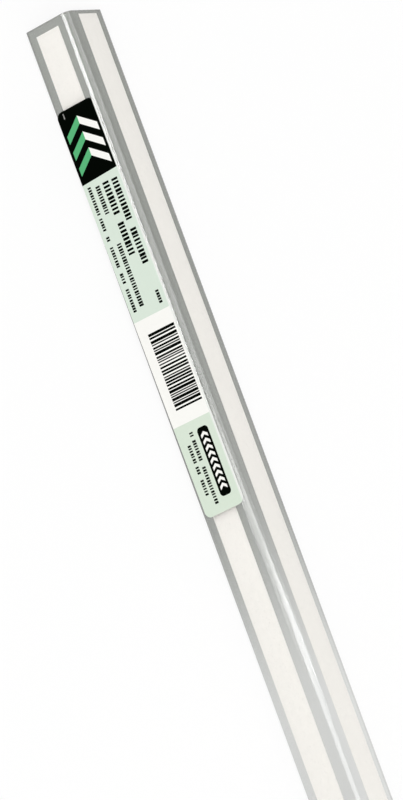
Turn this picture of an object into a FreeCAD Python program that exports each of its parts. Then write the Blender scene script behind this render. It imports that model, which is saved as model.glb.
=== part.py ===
"""Clear self-adhesive corner guard moulding, lying on its two free edges with its corner up.

The guard is an equal-leg angle of clear plastic. Each leg carries a strip of adhesive under a paper liner
on its inner face, and the left leg has a paper label on its outer face.

X runs along the length, towards the labelled end. Y runs across, and the leg called left is on the +Y side.
Z is up, and Z = 0 is the floor. All sizes are in millimetres.

Section coordinates: a is the distance from the sharp outer corner along the left leg, and b along the right
leg. The outer face of the left leg lies at b = 0 and that of the right leg at a = 0.
"""

import FreeCAD
import Part

import math
import os

# Angle
LENGTH = 1219.2
LEG = 19.05
WALL = 1.5
CORNER_RADIUS = 3.175
INNER_RADIUS = 1.675
EDGE_RADIUS = 0.3

# Adhesive strips and their liners
STRIP_WIDTH = 10.4
ADHESIVE_THICKNESS = 0.13
LINER_THICKNESS = 0.09
LEFT_STRIP_FROM_EDGE = 2.5
RIGHT_STRIP_FROM_EDGE = 2.15
LEFT_STRIP_FROM_LABELLED_END = 2.9
RIGHT_STRIP_FROM_LABELLED_END = 1.1
STRIP_FROM_PLAIN_END = 2.0

# Label, with its width measured square to the leg's face
LABEL_LENGTH = 146.05
LABEL_WIDTH = 15.8
LABEL_THICKNESS = 0.1
LABEL_CORNER_RADIUS = 2.4
LABEL_FROM_LABELLED_END = 30.1
LABEL_FROM_EDGE = 0.65

# Derived places
LABELLED_END = LENGTH / 2
PLAIN_END = -LENGTH / 2
HALF_ROOT = math.sqrt(0.5)
CORNER_HEIGHT = (LEG + WALL - 2 * EDGE_RADIUS) * HALF_ROOT + EDGE_RADIUS


def section_point(a, b, x=0.0):
    """Section coordinates to the part's frame, with both legs at 45 degrees to the floor."""
    return FreeCAD.Vector(x, (a - b) * HALF_ROOT, CORNER_HEIGHT - (a + b) * HALF_ROOT)


def rounded_wire(corners):
    """Closed wire through (point, radius) corners, as straight runs joined by tangent arcs."""
    turns = []
    for index, (point, radius) in enumerate(corners):
        to_previous = (corners[index - 1][0] - point).normalize()
        to_next = (corners[(index + 1) % len(corners)][0] - point).normalize()
        half_angle = to_previous.getAngle(to_next) / 2
        setback = radius / math.tan(half_angle)
        bisector = (to_previous + to_next).normalize()
        middle = point + bisector * (radius / math.sin(half_angle) - radius)
        turns.append((point + to_previous * setback, middle, point + to_next * setback))
    edges = []
    for index, (start, middle, end) in enumerate(turns):
        if corners[index][1] > 0:
            edges.append(Part.Arc(start, middle, end).toShape())
        next_start = turns[(index + 1) % len(turns)][0]
        edges.append(Part.LineSegment(end, next_start).toShape())
    return Part.Wire(edges)


def extrude_section(corners, start_x, end_x):
    """Prism along X whose section has the given (a, b, radius) corners."""
    outline = rounded_wire([(section_point(a, b, start_x), radius) for a, b, radius in corners])
    return Part.Face(outline).extrude(FreeCAD.Vector(end_x - start_x, 0, 0))


def corner_angle():
    """The extruded angle, sawn square at both ends."""
    corners = [
        (0, 0, CORNER_RADIUS),
        (0, LEG, EDGE_RADIUS),
        (WALL, LEG, EDGE_RADIUS),
        (WALL, WALL, INNER_RADIUS),
        (LEG, WALL, EDGE_RADIUS),
        (LEG, 0, EDGE_RADIUS),
    ]
    return extrude_section(corners, PLAIN_END, LABELLED_END)


def strip(on_left, depth, thickness):
    """Flat strip inside a leg, from the given depth below the leg's outer face."""
    from_edge = LEFT_STRIP_FROM_EDGE if on_left else RIGHT_STRIP_FROM_EDGE
    from_end = LEFT_STRIP_FROM_LABELLED_END if on_left else RIGHT_STRIP_FROM_LABELLED_END
    low_edge = LEG - from_edge
    high_edge = low_edge - STRIP_WIDTH
    bottom = depth + thickness
    corners = [(high_edge, depth), (low_edge, depth), (low_edge, bottom), (high_edge, bottom)]
    if not on_left:
        corners = [(b, a) for a, b in corners]
    return extrude_section(
        [(a, b, 0) for a, b in corners],
        PLAIN_END + STRIP_FROM_PLAIN_END,
        LABELLED_END - from_end,
    )


def adhesive(on_left):
    """Clear adhesive, on the plastic."""
    return strip(on_left, WALL, ADHESIVE_THICKNESS)


def liner(on_left):
    """Release liner, on the adhesive."""
    return strip(on_left, WALL + ADHESIVE_THICKNESS, LINER_THICKNESS)


def label_skin():
    """Skin of the label's thickness over the outer faces of both legs and the rounded corner."""
    corners = [
        (-LABEL_THICKNESS, -LABEL_THICKNESS, CORNER_RADIUS + LABEL_THICKNESS),
        (-LABEL_THICKNESS, LEG, 0),
        (0, LEG, 0),
        (0, 0, CORNER_RADIUS),
        (LEG, 0, 0),
        (LEG, -LABEL_THICKNESS, 0),
    ]
    return extrude_section(corners, PLAIN_END, LABELLED_END)


def label():
    """Sticker with rounded corners, its upper long edge wrapped a little onto the rounded corner."""
    low_edge = LEG - LABEL_FROM_EDGE
    high_edge = low_edge - LABEL_WIDTH
    end_x = LABELLED_END - LABEL_FROM_LABELLED_END
    start_x = end_x - LABEL_LENGTH
    corners = [(high_edge, start_x), (high_edge, end_x), (low_edge, end_x), (low_edge, start_x)]
    outline = rounded_wire([(section_point(a, -CORNER_RADIUS, x), LABEL_CORNER_RADIUS) for a, x in corners])
    inward = section_point(0, CORNER_RADIUS) - section_point(0, -CORNER_RADIUS)
    return label_skin().common(Part.Face(outline).extrude(inward))


PIECES = {
    "corner_angle": corner_angle(),
    "adhesive_left": adhesive(on_left=True),
    "adhesive_right": adhesive(on_left=False),
    "liner_left": liner(on_left=True),
    "liner_right": liner(on_left=False),
    "label": label(),
}

os.makedirs("parts", exist_ok=True)
for name, shape in PIECES.items():
    if len(shape.Solids) != 1 or not shape.isValid():
        raise ValueError(f"{name} is not one valid solid")
    shape.Solids[0].exportStep(f"parts/{name}.step")
    box = shape.BoundBox
    print(f"{name}: {shape.Volume:.1f} mm3, {box.XLength:.2f} x {box.YLength:.2f} x {box.ZLength:.2f} mm")
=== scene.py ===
"""Looks of the clear corner guard moulding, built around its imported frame. Sizes are in metres."""

import math
import random

import bpy
from mathutils import Matrix, Vector


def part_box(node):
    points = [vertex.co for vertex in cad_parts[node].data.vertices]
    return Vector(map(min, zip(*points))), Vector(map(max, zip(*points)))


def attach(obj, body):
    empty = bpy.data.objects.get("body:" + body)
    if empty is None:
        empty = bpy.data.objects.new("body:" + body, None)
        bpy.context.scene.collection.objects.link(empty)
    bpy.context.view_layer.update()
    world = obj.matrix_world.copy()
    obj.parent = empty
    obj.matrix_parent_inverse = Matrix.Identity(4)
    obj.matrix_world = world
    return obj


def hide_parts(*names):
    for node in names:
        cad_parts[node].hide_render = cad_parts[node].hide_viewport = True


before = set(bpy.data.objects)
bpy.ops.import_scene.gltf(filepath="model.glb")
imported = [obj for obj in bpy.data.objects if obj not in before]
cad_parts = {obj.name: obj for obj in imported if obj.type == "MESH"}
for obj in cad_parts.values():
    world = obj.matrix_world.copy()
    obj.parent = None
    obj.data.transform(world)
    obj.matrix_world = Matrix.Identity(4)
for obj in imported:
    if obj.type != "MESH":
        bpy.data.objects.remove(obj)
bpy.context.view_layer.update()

MM = 0.001
HALF_ROOT = math.sqrt(0.5)

# Section of the angle, and the height of its sharp corner over the floor
LEG = 19.05 * MM
WALL = 1.5 * MM
CORNER_RADIUS = 3.175 * MM
INNER_RADIUS = 1.675 * MM
EDGE_RADIUS = 0.3 * MM
ANGLE_LOW, ANGLE_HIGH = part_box("corner_angle")
PLAIN_END = ANGLE_LOW.x
LABELLED_END = ANGLE_HIGH.x
CORNER_HEIGHT = (LEG + WALL - 2 * EDGE_RADIUS) * HALF_ROOT + EDGE_RADIUS

# Broken edge of the sawn ends, which the solids leave out, and the steps in each arc of the section
SAWN_CHAMFER = 0.12 * MM
CORNER_STEPS = 28
INNER_STEPS = 16
EDGE_STEPS = 6

# How close to a face a point counts as lying on it
FACE_TOLERANCE = 0.0001 * MM

# How far the liners and the label reach into what they are glued to, and how far the adhesive films stay
# clear of the plastic, so that no two faces fall together
GLUE_OVERLAP = 0.01 * MM

# How far the left strip stays back from its solid's free-edge side
LEFT_STRIP_TRIM = 0.36 * MM

# Places in the list of the angle's materials, and in the label's
OUTER, LEFT_FACE, RIGHT_FACE, EDGE, RIM, WETTED, SAWN = range(7)
LABEL_FACE, LABEL_BACK = range(2)

# Painted shade on the plastic that no adhesive wets: a dark film whose cover, as the share of what lies
# behind, stands in for the shade under the angle and at its edges. Its cover changes along the length with
# the light, and is heavier on the left face than on the right because that is how the light falls. Its cover
# near the labelled end, where it starts to fade, and far from that end. The places where it starts to ease,
# starts to fade and stops fading are measured from the labelled end
LEFT_PAINTED_SHADE = (0.82, 0.785, 0.36)
RIGHT_PAINTED_SHADE = (0.79, 0.72, 0.285)
EDGE_PAINTED_SHADE = (0.78, 0.74, 0.36)
RIM_PAINTED_SHADE = (0.03, 0.36, 0.08)
SHADE_EASES_FROM, SHADE_FADES_FROM, SHADE_FADES_TO = 90 * MM, 158 * MM, 255 * MM

# Label, stuck on a little askew: its turn in radians, how far from its upper end the turned sheet meets the
# place of its solid, and how much further it wraps onto the rounded corner and reaches at its lower end
LABEL_THICKNESS = 0.1 * MM
LABEL_CORNER_RADIUS = 2.4 * MM
LABEL_CORNER_STEPS = 14
LABEL_STATIONS = 30
LABEL_TURN = 0.0065
LABEL_TURN_PLACE = 101 * MM
LABEL_WRAP = 0.8 * MM
LABEL_LOWER_REACH = 0.6 * MM

# Printed zones of the label, in millimetres from its upper end, how far the black zone's end slants along the
# label for each millimetre across it, and how far the print reaches across
BLACK_ZONE_END = 26.1
BLACK_ZONE_SLANT = 0.037
TEXT_ZONE_END = 76.2
BAR_ZONE_END = 114.3
PRINT_REACH = 15.9

# Motifs of nested chevrons, in millimetres. A box is its start and end along the label, and its low and high
# side across it. Chevrons have their tip along the label, their centre across it, and bars and gaps of one
# width
CHEVRON_SLOPE = 0.75
HEAD_MOTIF_BOX = (0, 24, 1.2, 14.8)
HEAD_CHEVRONS = {"tip": 3.6, "centre": 7.9, "width": 2.9, "count": 3}
PLATE_BOX = (117.6, 142.0, 8.6, 13.3)
PLATE_CORNER_RADIUS = 1.4
PLATE_MOTIF_BOX = (119.2, 140.4, 9.5, 12.4)
PLATE_CHEVRONS = {"tip": 119.2, "centre": 10.95, "width": 1.15, "count": 9}

# Painted highlight of a small crease near the label's upper end, drawn as a short pale mark, in millimetres
CREASE_GLINT_BOX = (0.8, 2.8, 2.6, 3.1)
CREASE_GLINT_CORNER_RADIUS = 0.2

# Rows of plain strokes, in millimetres: low side and high side across the label, and the stretches along the
# label that the row fills. The strokes' pitch is a share of the row's height, or the least pitch if that is
# more, and their widths are shares of the pitch
STROKE_ROWS = [
    (11.9, 14.5, [(28.4, 44.4), (46.6, 59.6)]),
    (7.95, 10.65, [(28.2, 40.6), (42.9, 55.5)]),
    (4.7, 6.55, [(28.5, 39.4), (49.6, 72.0)]),
    (1.55, 2.95, [(28.0, 37.6), (39.2, 44.0), (45.4, 47.8), (49.4, 57.4), (59.0, 63.0), (64.8, 73.0)]),
    (12.7, 14.1, [(69.8, 74.3)]),
    (5.35, 6.85, [(117.6, 119.6), (121.0, 128.4), (130.0, 143.0)]),
    (2.85, 4.25, [(121.3, 128.0), (129.6, 132.0), (134.0, 139.6)]),
]
STROKE_PITCH = 0.5
LEAST_PITCH = 0.95
STROKE_WIDTHS = (0.5, 0.88)

# Bar panel, in millimetres along and across the label
BARS_START, BARS_END = 81.7, 109.2
BARS_LOW, BARS_HIGH = 3.7, 15.3
BAR_WIDTHS = (0.45, 0.45, 0.7, 0.7, 1.0)
BAR_GAPS = (0.3, 0.3, 0.3, 0.55, 0.55)
BAR_SEED = 10

# Stage
FLOOR_REACH = 60.0
FLOOR_LIFT = 0.82
WORLD_STRENGTH = 0.95

# Lamps that show in the gloss and light no matt surface, on arcs over the guard: name, start and end along X,
# start and end in degrees about the X axis, counted from +Y upwards, light level, and distance from that axis
SOFTBOX_DISTANCE = 1.8
BAND_DISTANCE = 1.79
GLOSS_LAMPS = [
    ("side_softbox", 0.666, 1.05, 18, 63, 12.7, SOFTBOX_DISTANCE),
    ("side_glow", 0.55, 0.664, 32, 62, 2.2, SOFTBOX_DISTANCE),
    ("top_far_softbox", 0.722, 1.05, 69, 140, 2.4, SOFTBOX_DISTANCE),
    ("top_far_band", 0.722, 1.05, 110, 123, 1.2, BAND_DISTANCE),
    ("top_middle_softbox", 0.618, 0.72, 56, 120, 4.0, SOFTBOX_DISTANCE),
    ("top_middle_band", 0.618, 0.72, 80, 108, 2.6, BAND_DISTANCE),
    ("top_middle_tail", 0.618, 0.72, 121, 158, 1.0, SOFTBOX_DISTANCE),
    ("top_bright_softbox", 0.597, 0.617, 64, 139, 7.4, SOFTBOX_DISTANCE),
    ("top_brightest_softbox", 0.556, 0.596, 71, 148, 8.3, SOFTBOX_DISTANCE),
    ("top_fading_softbox", 0.53, 0.555, 77, 150, 7.8, SOFTBOX_DISTANCE),
    ("top_bright_tail", 0.53, 0.596, 151, 168, 3.0, SOFTBOX_DISTANCE),
    ("top_near_softbox", 0.37, 0.529, 77, 129, 4.1, SOFTBOX_DISTANCE),
]

# Lamps that light matt surfaces and stay out of the gloss: name, place, tilt in degrees, sides, and power
FILL_LAMPS = [
    ("right_fill", (0.05, -0.35, 0.3), 50, (0.3, 0.3), 0.36),
    ("left_fill", (0.45, 1.6, 1.4), -49, (1.6, 1.2), 4.0),
]

# Camera
CAMERA_AZIMUTH = math.radians(218.4036)
CAMERA_ELEVATION = math.radians(76.4942)
CAMERA_ROLL = math.radians(32.1051)
CAMERA_DISTANCE = 1.62672
CAMERA_TARGET = Vector((0.47067, 0.00165, 0.007))
SENSOR = 36.0
LENS = 219.716


class Graph:
    """A material's node tree, with short calls for the nodes that this scene uses."""

    def __init__(self, name):
        self.material = bpy.data.materials.new(name)
        self.material.use_nodes = True
        self.tree = self.material.node_tree
        self.tree.nodes.clear()

    def add(self, kind, settings=None, **inputs):
        """New node of this kind. A setting is an attribute; an input is a value or another node's socket."""
        node = self.tree.nodes.new(kind)
        for key, value in (settings or {}).items():
            setattr(node, key, value)
        for key, value in inputs.items():
            self.feed(node.inputs[key.replace("_", " ")], value)
        return node

    def feed(self, socket, value):
        if isinstance(value, bpy.types.NodeSocket):
            self.tree.links.new(value, socket)
        else:
            socket.default_value = value

    def math(self, operation, *values):
        node = self.add("ShaderNodeMath", {"operation": operation})
        for socket, value in zip(node.inputs, values):
            self.feed(socket, value)
        return node.outputs[0]

    def vector(self, operation, *values):
        node = self.add("ShaderNodeVectorMath", {"operation": operation})
        for socket, value in zip(node.inputs, values):
            self.feed(socket, value)
        return node.outputs["Value" if operation == "LENGTH" else "Vector"]

    def mix(self, factor, first, second):
        """Blend of two colours. The node has sockets for other kinds of data too, between these."""
        node = self.add("ShaderNodeMix", {"data_type": "RGBA"})
        factor_socket, first_socket, second_socket = node.inputs[0], node.inputs[6], node.inputs[7]
        self.feed(factor_socket, factor)
        self.feed(first_socket, first)
        self.feed(second_socket, second)
        return node.outputs[2]

    def mix_shaders(self, factor, first, second):
        node = self.add("ShaderNodeMixShader", Fac=factor)
        self.feed(node.inputs[1], first)
        self.feed(node.inputs[2], second)
        return node.outputs[0]

    def ramp(self, value, start, end, low, high, smooth=False):
        """From low at the start value to high at the end value, and level beyond both."""
        return self.add(
            "ShaderNodeMapRange", {"interpolation_type": "SMOOTHSTEP" if smooth else "LINEAR"},
            Value=value, From_Min=start, From_Max=end, To_Min=low, To_Max=high,
        ).outputs[0]

    def spread(self, value, low, high):
        """Value from 0 to 1, mapped to the range from low to high."""
        return self.ramp(value, 0.0, 1.0, low, high)

    def place(self):
        """Place in the object's own metres."""
        return self.add("ShaderNodeTexCoord").outputs["Object"]

    def noise(self, scale, detail=2.0, stretch=(1, 1, 1)):
        """Noise in the object's own metres. A stretch under 1 draws it out along that axis."""
        place = self.vector("MULTIPLY", self.place(), stretch)
        return self.add("ShaderNodeTexNoise", Vector=place, Scale=scale, Detail=detail).outputs[0]

    def bump(self, height, strength, distance):
        return self.add("ShaderNodeBump", Height=height, Strength=strength, Distance=distance).outputs[0]

    def transparent(self, tint):
        return self.add("ShaderNodeBsdfTransparent", Color=tint).outputs[0]

    def principled(self, **inputs):
        return self.add("ShaderNodeBsdfPrincipled", **inputs).outputs[0]

    def output(self, shader):
        self.add("ShaderNodeOutputMaterial", Surface=shader)
        return self.material


def colour(red, green, blue):
    return (red, green, blue, 1.0)


# Materials


def outer_plastic():
    """Clear extruded plastic with faint lines along its length. Light on its way to other surfaces passes
    unbent, so that what lies under the plastic is lit without grain."""
    graph = Graph("clear_plastic")
    lines = graph.noise(1400, 3, (0.0015, 1, 1))
    haze = graph.noise(60, 4, (0.25, 1, 1))
    body = graph.principled(
        Base_Color=colour(0.97, 0.98, 0.972),
        Roughness=graph.spread(haze, 0.07, 0.09),
        IOR=1.54,
        Transmission_Weight=1.0,
        Normal=graph.bump(lines, 0.012, 0.02 * MM),
    )
    path = graph.add("ShaderNodeLightPath")
    unbent = graph.math("MAXIMUM", path.outputs["Is Shadow Ray"], path.outputs["Is Diffuse Ray"])
    passed = graph.transparent(colour(0.955, 0.96, 0.956))
    return graph.output(graph.mix_shaders(unbent, body, passed))


def painted_shade_film(name, covers):
    """Painted shade on an inner face, edge or rim that no adhesive wets: a dark film with the plastic's faint
    green tint and faint streaks, whose cover stands in for the shade seen through the plastic and changes
    along the length with the light.
    """
    graph = Graph(name)
    near_cover, eased_cover, far_cover = covers
    x = graph.add("ShaderNodeSeparateXYZ", Vector=graph.place()).outputs["X"]
    from_end = graph.math("SUBTRACT", LABELLED_END, x)
    shade_eased = graph.ramp(from_end, SHADE_EASES_FROM, SHADE_FADES_FROM, near_cover, eased_cover)
    shade_faded = graph.ramp(from_end, SHADE_FADES_FROM, SHADE_FADES_TO, 0.0, eased_cover - far_cover, smooth=True)
    cover = graph.math("SUBTRACT", shade_eased, shade_faded)
    streaks = graph.noise(900, 3, (0.01, 1, 1))
    body = graph.principled(
        Base_Color=graph.mix(streaks, colour(0.092, 0.104, 0.078), colour(0.112, 0.126, 0.096)),
        Roughness=graph.spread(streaks, 0.15, 0.3),
        Specular_IOR_Level=0.2,
        Alpha=graph.math("MULTIPLY", cover, graph.spread(streaks, 0.96, 1.04)),
    )
    return graph.output(body)


def wetted_plastic():
    """Inner face that adhesive wets, which light crosses unbent, with a few fine bubbles."""
    graph = Graph("wetted_plastic")
    cells = graph.add("ShaderNodeTexVoronoi", Vector=graph.place(), Scale=900.0).outputs["Distance"]
    bubbles = graph.math("MULTIPLY", graph.math("LESS_THAN", cells, 0.12), 0.25)
    clear = graph.transparent(colour(0.985, 0.985, 0.98))
    bubble = graph.principled(Base_Color=colour(0.93, 0.93, 0.91), Roughness=0.4)
    return graph.output(graph.mix_shaders(bubbles, clear, bubble))


def sawn_plastic():
    """Sawn end of the angle, frosted by the blade."""
    graph = Graph("sawn_plastic")
    marks = graph.noise(2500, 3, (1, 1, 0.08))
    body = graph.principled(
        Base_Color=graph.mix(marks, colour(0.80, 0.84, 0.81), colour(0.88, 0.91, 0.89)),
        Roughness=graph.spread(marks, 0.3, 0.55),
        IOR=1.5,
        Transmission_Weight=0.8,
        Normal=graph.bump(marks, 0.5, 0.05 * MM),
    )
    return graph.output(body)


def adhesive_film():
    """Clear pressure-sensitive adhesive, a little cloudy."""
    graph = Graph("adhesive_film")
    cloud = graph.noise(500, 4)
    body = graph.principled(
        Base_Color=graph.mix(cloud, colour(0.93, 0.92, 0.87), colour(0.95, 0.94, 0.90)),
        Roughness=graph.spread(cloud, 0.3, 0.45),
        Alpha=graph.spread(cloud, 0.06, 0.14),
        Normal=graph.bump(cloud, 0.1, 0.02 * MM),
    )
    return graph.output(body)


def white_paper():
    """White coated paper with faint fibres, for the liners and the label's back and edges."""
    graph = Graph("white_paper")
    fibres = graph.noise(2200, 4, (0.4, 1, 1))
    cloud = graph.noise(45, 3)
    tone = graph.mix(cloud, colour(0.935, 0.898, 0.868), colour(0.955, 0.918, 0.888))
    body = graph.principled(
        Base_Color=graph.mix(graph.spread(fibres, 0.0, 0.3), tone, colour(0.91, 0.878, 0.846)),
        Roughness=graph.spread(fibres, 0.5, 0.65),
        Normal=graph.bump(fibres, 0.15, 0.02 * MM),
    )
    return graph.output(body)


class Print:
    """Masks over the label's print coordinates, which its UV map holds in millimetres: along the label from
    its upper end, and across it from its free-edge side."""

    def __init__(self, graph):
        self.graph = graph
        self.place = graph.add("ShaderNodeUVMap", {"uv_map": "print"}).outputs["UV"]
        parts = graph.add("ShaderNodeSeparateXYZ", Vector=self.place)
        self.along = parts.outputs["X"]
        self.across = parts.outputs["Y"]

    def band(self, coordinate, low, high):
        return self.graph.math("COMPARE", coordinate, (low + high) / 2, (high - low) / 2)

    def overlap(self, *masks):
        total = masks[0]
        for mask in masks[1:]:
            total = self.graph.math("MULTIPLY", total, mask)
        return total

    def union(self, *masks):
        total = masks[0]
        for mask in masks[1:]:
            total = self.graph.math("MAXIMUM", total, mask)
        return total

    def box(self, start, end, low, high):
        return self.overlap(self.band(self.along, start, end), self.band(self.across, low, high))

    def rounded_box(self, start, end, low, high, radius):
        graph = self.graph
        middle = ((start + end) / 2, (low + high) / 2, 0)
        reach = ((end - start) / 2 - radius, (high - low) / 2 - radius, 0)
        from_middle = graph.vector("ABSOLUTE", graph.vector("SUBTRACT", self.place, middle))
        beyond = graph.vector("MAXIMUM", graph.vector("SUBTRACT", from_middle, reach), (0, 0, 0))
        return graph.math("LESS_THAN", graph.vector("LENGTH", beyond), radius)

    def strokes(self, low, high, stretches):
        """Row of plain strokes of mixed widths over the given stretches, each rounded to whole strokes."""
        graph = self.graph
        pitch = max(STROKE_PITCH * (high - low), LEAST_PITCH)
        cells = graph.math("DIVIDE", self.along, pitch)
        cell = graph.math("FLOOR", cells)
        draw = graph.add("ShaderNodeTexWhiteNoise", {"noise_dimensions": "1D"}, W=cell)
        width = graph.spread(draw.outputs["Value"], *STROKE_WIDTHS)
        inked = graph.math("LESS_THAN", graph.math("FRACT", cells), width)
        reach = []
        for start, end in stretches:
            reach.append(self.band(self.along, round(start / pitch) * pitch, round(end / pitch) * pitch))
        return self.overlap(inked, self.union(*reach), self.band(self.across, low, high))

    def bars(self):
        """Plain bars of mixed widths, which stand for no number."""
        draw = random.Random(BAR_SEED)
        masks = []
        start = BARS_START
        width = draw.choice(BAR_WIDTHS)
        while start + width <= BARS_END:
            masks.append(self.band(self.along, start, start + width))
            start += width + draw.choice(BAR_GAPS)
            width = draw.choice(BAR_WIDTHS)
        return self.overlap(self.union(*masks), self.band(self.across, BARS_LOW, BARS_HIGH))

    def chevrons(self, tip, centre, width, count):
        """Nested chevrons that point to the label's upper end, counted from the tip."""
        graph = self.graph
        aside = graph.math("ABSOLUTE", graph.math("SUBTRACT", self.across, centre))
        swept = graph.math("MULTIPLY", aside, CHEVRON_SLOPE)
        depth = graph.math("SUBTRACT", graph.math("SUBTRACT", self.along, tip), swept)
        pitches = graph.math("DIVIDE", depth, 2 * width)
        inked = graph.math("LESS_THAN", graph.math("FRACT", pitches), 0.5)
        return self.overlap(inked, self.band(depth, 0, (2 * count - 1) * width))


def label_print():
    """Coated label paper: a black head and a plate with plain motifs, pale green fields with strokes, and a
    bar panel."""
    graph = Graph("label_print")
    layout = Print(graph)
    fibres = graph.noise(1800, 4)
    cloud = graph.noise(40, 3)
    white = graph.mix(cloud, colour(0.915, 0.907, 0.869), colour(0.935, 0.930, 0.893))
    upper_mint = graph.mix(cloud, colour(0.668, 0.761, 0.664), colour(0.706, 0.793, 0.702))
    lower_mint = graph.mix(cloud, colour(0.656, 0.750, 0.632), colour(0.694, 0.782, 0.670))
    # Pale unprinted margin along the wrapped edge, its tone also a painted highlight of the paper bent over
    # the corner
    margin_and_sheen = graph.mix(cloud, colour(0.82, 0.835, 0.80), colour(0.85, 0.865, 0.83))
    ink = colour(0.0008, 0.0018, 0.0008)
    green = colour(0.10, 0.45, 0.19)

    mint = graph.mix(graph.math("LESS_THAN", layout.along, BAR_ZONE_END), lower_mint, upper_mint)
    field = graph.mix(layout.band(layout.along, TEXT_ZONE_END, BAR_ZONE_END), mint, white)
    slanted = graph.math("ADD", layout.along, graph.math("MULTIPLY", layout.across, BLACK_ZONE_SLANT))
    field = graph.mix(graph.math("LESS_THAN", slanted, BLACK_ZONE_END), field, ink)

    head_motif = layout.overlap(layout.chevrons(**HEAD_CHEVRONS), layout.box(*HEAD_MOTIF_BOX))
    green_half = graph.math("LESS_THAN", layout.across, HEAD_CHEVRONS["centre"])
    field = graph.mix(head_motif, field, graph.mix(green_half, white, green))

    strokes = [layout.strokes(*row) for row in STROKE_ROWS]
    plate = layout.rounded_box(*PLATE_BOX, PLATE_CORNER_RADIUS)
    field = graph.mix(layout.union(plate, layout.bars(), *strokes), field, ink)
    plate_motif = layout.overlap(layout.chevrons(**PLATE_CHEVRONS), layout.box(*PLATE_MOTIF_BOX))
    field = graph.mix(plate_motif, field, white)

    # Short pale mark that stands in for the light caught by a small crease (painted highlight)
    crease_glint = layout.rounded_box(*CREASE_GLINT_BOX, CREASE_GLINT_CORNER_RADIUS)
    field = graph.mix(layout.overlap(crease_glint, graph.spread(fibres, 0.0, 0.5)), field, white)
    # Past the print's reach: the pale margin, partly unprinted paper and partly painted highlight
    field = graph.mix(graph.math("GREATER_THAN", layout.across, PRINT_REACH), field, margin_and_sheen)
    body = graph.principled(
        Base_Color=field,
        Roughness=graph.spread(fibres, 0.55, 0.65),
        Specular_IOR_Level=0.004,
        Normal=graph.bump(fibres, 0.1, 0.01 * MM),
    )
    return graph.output(body)


def studio_floor():
    """Pale floor, lifted towards white where it is seen, also in gloss and through the plastic."""
    graph = Graph("studio_floor")
    cloud = graph.noise(6, 3)
    body = graph.principled(
        Base_Color=graph.mix(cloud, colour(0.94, 0.94, 0.935), colour(0.95, 0.95, 0.945)),
        Roughness=0.9,
        Specular_IOR_Level=0.1,
    )
    path = graph.add("ShaderNodeLightPath")
    seen = graph.math("MAXIMUM", path.outputs["Is Camera Ray"], path.outputs["Is Glossy Ray"])
    seen = graph.math("MAXIMUM", seen, path.outputs["Is Transmission Ray"])
    white = graph.add("ShaderNodeEmission", Color=colour(1.0, 1.0, 1.0), Strength=1.0).outputs[0]
    return graph.output(graph.mix_shaders(graph.math("MULTIPLY", seen, FLOOR_LIFT), body, white))


# Shapes


def section_point(a, b, x=0.0):
    """Distances from the sharp corner along the left and the right leg, to the part's frame."""
    return Vector((x, (a - b) * HALF_ROOT, CORNER_HEIGHT - (a + b) * HALF_ROOT))


def section_direction(a, b):
    return Vector((0, (a - b) * HALF_ROOT, -(a + b) * HALF_ROOT))


def rounded_outline(corners):
    """(point, outward normal) pairs in section coordinates, along a closed outline that has its inside on
    the right. A corner is (a, b, radius, steps of its arc)."""
    outline = []
    for index, (a, b, radius, steps) in enumerate(corners):
        point = Vector((a, b))
        heading = (point - Vector(corners[index - 1][:2])).normalized()
        next_heading = (Vector(corners[(index + 1) % len(corners)][:2]) - point).normalized()
        turn = math.atan2(
            heading.x * next_heading.y - heading.y * next_heading.x, heading.dot(next_heading)
        )
        bulge = radius if turn < 0 else -radius
        normal = Vector((-heading.y, heading.x))
        centre = point - heading * radius * math.tan(abs(turn) / 2) - normal * bulge
        for step in range(steps + 1):
            turned = Matrix.Rotation(turn * step / max(steps, 1), 2) @ normal
            outline.append((centre + turned * bulge, turned))
    return outline


def mesh_piece(name, points, faces, materials, face_materials=None, face_normals=None, uvs=None):
    """New object from points and faces. Face normals hold one normal per corner, or None for a flat face."""
    mesh = bpy.data.meshes.new(name)
    mesh.from_pydata(points, [], faces)
    for material in materials:
        mesh.materials.append(material)
    if face_materials:
        mesh.polygons.foreach_set("material_index", face_materials)
    if uvs:
        layer = mesh.uv_layers.new(name="print")
        for loop in mesh.loops:
            layer.data[loop.index].uv = uvs[loop.vertex_index]
    if face_normals:
        mesh.polygons.foreach_set("use_smooth", [True] * len(faces))
        normals = []
        for polygon, given in zip(mesh.polygons, face_normals):
            normals += given or [polygon.normal.copy()] * len(polygon.vertices)
        mesh.normals_split_custom_set(normals)
    piece = bpy.data.objects.new(name, mesh)
    bpy.context.scene.collection.objects.link(piece)
    return piece


def sweep(name, outline, stations, materials, material_at=None, end_material=0, smooth=False, chamfer=0.0):
    """Closed piece with the outline's section at each station along X, and a chamfer at both ends."""
    count = len(outline)
    points = []
    for index, x in enumerate(stations):
        inset = chamfer if index in (0, len(stations) - 1) else 0.0
        for point, normal in outline:
            a, b = point - normal * inset
            points.append(section_point(a, b, x))
    faces, face_materials, face_normals = [], [], []
    for station in range(len(stations) - 1):
        broken = chamfer > 0 and station in (0, len(stations) - 2)
        for side in range(count):
            following = (side + 1) % count
            low, high = station * count, (station + 1) * count
            faces.append((low + side, low + following, high + following, high + side))
            middle = (outline[side][0] + outline[following][0]) / 2
            x = (stations[station] + stations[station + 1]) / 2
            face_materials.append(material_at(middle, x) if material_at else 0)
            first = section_direction(*outline[side][1])
            second = section_direction(*outline[following][1])
            face_normals.append([first, second, second, first] if smooth and not broken else None)
    last = (len(stations) - 1) * count
    faces.append(tuple(reversed(range(count))))
    faces.append(tuple(last + side for side in range(count)))
    face_materials += [end_material] * 2
    face_normals += [None] * 2
    return mesh_piece(name, points, faces, materials, face_materials, face_normals)


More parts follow.
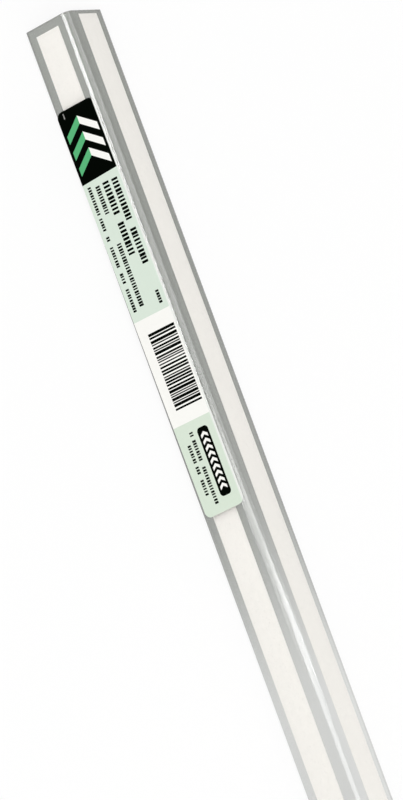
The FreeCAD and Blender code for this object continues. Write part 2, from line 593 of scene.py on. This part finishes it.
def strip_section(node, on_left, depth):
    """Near and far side of a strip's node along its leg, from the sharp corner, and the depth of its bottom
    under the leg's outer face. The given depth is that of its top."""
    low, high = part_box(node)
    reach = high.y if on_left else -low.y
    near = (CORNER_HEIGHT - high.z) / HALF_ROOT - depth
    far = reach / HALF_ROOT + depth
    bottom = (CORNER_HEIGHT - low.z) / HALF_ROOT - far
    return near, far - (LEFT_STRIP_TRIM if on_left else 0), bottom


def strip(name, node, on_left, depth, overlap, material):
    """Strip that stands for its node, pressed by the overlap into what it sticks to, or clear of it where the
    overlap is negative."""
    near, far, bottom = strip_section(node, on_left, depth)
    top = depth - overlap
    if on_left:
        corners = [(near, bottom), (far, bottom), (far, top), (near, top)]
    else:
        corners = [(bottom, near), (top, near), (top, far), (bottom, far)]
    low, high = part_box(node)
    outline = rounded_outline([(a, b, 0, 0) for a, b in corners])
    return sweep(name, outline, [low.x, high.x], [material])


def corner_angle(materials):
    """The clear angle. The parts of its inner faces that adhesive wets have a material of their own."""
    left_near, left_far, _ = strip_section("adhesive_left", True, WALL)
    right_near, right_far, _ = strip_section("adhesive_right", False, WALL)
    left_low, left_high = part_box("adhesive_left")
    right_low, right_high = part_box("adhesive_right")
    corners = [
        (0, 0, CORNER_RADIUS, CORNER_STEPS),
        (0, LEG, EDGE_RADIUS, EDGE_STEPS),
        (WALL, LEG, EDGE_RADIUS, EDGE_STEPS),
        (WALL, right_far, 0, 0),
        (WALL, right_near, 0, 0),
        (WALL, WALL, INNER_RADIUS, INNER_STEPS),
        (left_near, WALL, 0, 0),
        (left_far, WALL, 0, 0),
        (LEG, WALL, EDGE_RADIUS, EDGE_STEPS),
        (LEG, 0, EDGE_RADIUS, EDGE_STEPS),
    ]
    stations = {
        PLAIN_END, PLAIN_END + SAWN_CHAMFER, LABELLED_END - SAWN_CHAMFER, LABELLED_END,
        left_low.x, left_high.x, right_low.x, right_high.x,
    }

    def on_outer_side(a, b):
        """Whether a place on the outline is outside the wall's middle. Both corner arcs have one centre."""
        if max(a, b) < CORNER_RADIUS:
            from_centre = math.hypot(CORNER_RADIUS - a, CORNER_RADIUS - b)
            return from_centre > (CORNER_RADIUS + INNER_RADIUS) / 2
        return min(a, b) < WALL / 2

    def wetted(a, b, x):
        """Whether adhesive covers this place on an inner face."""
        if abs(b - WALL) < FACE_TOLERANCE and left_near < a < left_far:
            return left_low.x < x < left_high.x
        if abs(a - WALL) < FACE_TOLERANCE and right_near < b < right_far:
            return right_low.x < x < right_high.x
        return False

    def material_at(middle, x):
        a, b = middle
        if wetted(a, b, x):
            return WETTED
        if max(a, b) > LEG - EDGE_RADIUS:
            return EDGE if min(a, b) > EDGE_RADIUS else RIM
        if on_outer_side(a, b):
            return OUTER
        return LEFT_FACE if a > b else RIGHT_FACE

    return sweep(
        "corner_angle_clear", rounded_outline(corners), sorted(stations), materials, material_at,
        end_material=SAWN, smooth=True, chamfer=SAWN_CHAMFER,
    )


def label(materials):
    """Sticker with rounded corners, its upper long edge wrapped a little onto the rounded corner. The first
    material is its face, and the second its back and its edges."""
    low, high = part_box("label")
    free_edge = high.y / HALF_ROOT - LABEL_THICKNESS
    corner_centre = CORNER_HEIGHT - 2 * CORNER_RADIUS * HALF_ROOT
    from_top = math.acos((high.z - corner_centre) / (CORNER_RADIUS + LABEL_THICKNESS))
    flat_width = free_edge - CORNER_RADIUS
    width = flat_width + CORNER_RADIUS * (math.pi / 4 - from_top) + LABEL_WRAP
    length = high.x - low.x + LABEL_LOWER_REACH
    rows = []
    for step in range(LABEL_CORNER_STEPS + 1):
        angle = math.pi / 2 * step / LABEL_CORNER_STEPS
        across = LABEL_CORNER_RADIUS * (1 - math.cos(angle))
        inset = LABEL_CORNER_RADIUS * (1 - math.sin(angle))
        rows.append((across, inset))
    rows += [(width - across, inset) for across, inset in reversed(rows)]

    points, normals, uvs = [], [], []
    for height in (-GLUE_OVERLAP, LABEL_THICKNESS):
        for across, inset in rows:
            for station in range(LABEL_STATIONS + 1):
                along = inset + (length - 2 * inset) * station / LABEL_STATIONS
                from_edge = across + LABEL_TURN * (along - LABEL_TURN_PLACE)
                angle = max(from_edge - flat_width, 0) / CORNER_RADIUS
                a, b = free_edge - from_edge, -height
                if angle > 0:
                    a = CORNER_RADIUS - (CORNER_RADIUS + height) * math.sin(angle)
                    b = CORNER_RADIUS - (CORNER_RADIUS + height) * math.cos(angle)
                points.append(section_point(a, b, high.x - along + LABEL_TURN * (across - width / 2)))
                normals.append(section_direction(-math.sin(angle), -math.cos(angle)))
                uvs.append((along / MM, across / MM))

    def index(on_top, row, station):
        return (on_top * len(rows) + row) * (LABEL_STATIONS + 1) + station

    def wall(first, second):
        """Face down from an edge of the top, given as its two (row, station) ends in order."""
        return (index(0, *first), index(0, *second), index(1, *second), index(1, *first))

    top_faces, faces = [], []
    last_row = len(rows) - 1
    for row in range(last_row):
        for station in range(LABEL_STATIONS):
            ring = [(row, station), (row, station + 1), (row + 1, station + 1), (row + 1, station)]
            top_faces.append(tuple(index(1, *place) for place in ring))
            faces.append(tuple(index(0, *place) for place in reversed(ring)))
        faces.append(wall((row + 1, 0), (row, 0)))
        faces.append(wall((row, LABEL_STATIONS), (row + 1, LABEL_STATIONS)))
    for station in range(LABEL_STATIONS):
        faces.append(wall((0, station), (0, station + 1)))
        faces.append(wall((last_row, station + 1), (last_row, station)))
    face_normals = [[normals[i] for i in face] for face in top_faces] + [None] * len(faces)
    face_materials = [LABEL_FACE] * len(top_faces) + [LABEL_BACK] * len(faces)
    return mesh_piece("label_sheet", points, top_faces + faces, materials, face_materials, face_normals, uvs)


# Pieces

film = adhesive_film()
paper = white_paper()
PLASTIC = [
    outer_plastic(),
    # Films of painted shade for the faces, edges and rims that no adhesive wets
    painted_shade_film("left_face_painted_shade", LEFT_PAINTED_SHADE),
    painted_shade_film("right_face_painted_shade", RIGHT_PAINTED_SHADE),
    painted_shade_film("edge_painted_shade", EDGE_PAINTED_SHADE),
    painted_shade_film("rim_painted_shade", RIM_PAINTED_SHADE),
    wetted_plastic(),
    sawn_plastic(),
]
PIECES = [(corner_angle(PLASTIC), "corner_angle", "clear_plastic")]
for side, on_left in (("left", True), ("right", False)):
    film_bottom = strip_section(f"adhesive_{side}", on_left, WALL)[2]
    PIECES.append((
        strip(f"adhesive_{side}_film", f"adhesive_{side}", on_left, WALL, -GLUE_OVERLAP, film),
        f"adhesive_{side}", "adhesive",
    ))
    PIECES.append((
        strip(f"liner_{side}_paper", f"liner_{side}", on_left, film_bottom, GLUE_OVERLAP, paper),
        f"liner_{side}", "liner_paper",
    ))
PIECES.append((label([label_print(), paper]), "label", "label_paper"))
for piece, node, slot in PIECES:
    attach(piece, "root")
    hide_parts(node)

# Stage

bpy.ops.mesh.primitive_plane_add(size=2 * FLOOR_REACH)
floor = bpy.context.object
floor.name = "floor"
floor.data.materials.append(studio_floor())


def lamp(name, place, tilt, size, power, seen_in_gloss, lights_surfaces):
    """Soft rectangular lamp. At no tilt it points down with its first side along X; the tilt turns it about
    X, in degrees."""
    data = bpy.data.lights.new(name, "AREA")
    data.shape = "RECTANGLE"
    data.size, data.size_y = size
    data.energy = power
    light = bpy.data.objects.new(name, data)
    light.location = place
    light.rotation_euler = (math.radians(tilt), 0, 0)
    light.visible_camera = False
    light.visible_glossy = seen_in_gloss
    light.visible_diffuse = lights_surfaces
    bpy.context.scene.collection.objects.link(light)


def arc_lamp(name, start_x, end_x, start_angle, end_angle, level, distance):
    """Lamp that shows in the gloss and lights no matt surface, facing the X axis squarely."""
    middle = math.radians((start_angle + end_angle) / 2)
    half_span = math.radians((end_angle - start_angle) / 2)
    size = (end_x - start_x, 2 * distance * math.tan(half_span))
    place = ((start_x + end_x) / 2, distance * math.cos(middle), distance * math.sin(middle))
    power = level * math.pi * size[0] * size[1]
    lamp(name, place, math.degrees(middle) - 90, size, power, seen_in_gloss=True, lights_surfaces=False)


for row in GLOSS_LAMPS:
    arc_lamp(*row)
for row in FILL_LAMPS:
    lamp(*row, seen_in_gloss=False, lights_surfaces=True)

world = bpy.data.worlds.new("studio")
bpy.context.scene.world = world
world.use_nodes = True
world.node_tree.nodes["Background"].inputs["Color"].default_value = colour(1.0, 1.0, 1.0)
world.node_tree.nodes["Background"].inputs["Strength"].default_value = WORLD_STRENGTH

# Camera

back = Vector((
    math.sin(CAMERA_AZIMUTH) * math.cos(CAMERA_ELEVATION),
    -math.cos(CAMERA_AZIMUTH) * math.cos(CAMERA_ELEVATION),
    math.sin(CAMERA_ELEVATION),
))
level = Vector((0, 0, 1)).cross(back).normalized()
upright = back.cross(level)
right = level * math.cos(CAMERA_ROLL) + upright * math.sin(CAMERA_ROLL)
up = upright * math.cos(CAMERA_ROLL) - level * math.sin(CAMERA_ROLL)
camera_data = bpy.data.cameras.new("camera")
camera_data.sensor_width = SENSOR
camera_data.lens = LENS
camera = bpy.data.objects.new("camera", camera_data)
camera.matrix_world = Matrix.Translation(CAMERA_TARGET + back * CAMERA_DISTANCE) @ Matrix(
    (right, up, back)
).transposed().to_4x4()
bpy.context.scene.collection.objects.link(camera)
bpy.context.scene.camera = camera

bpy.context.scene.view_settings.view_transform = "Standard"
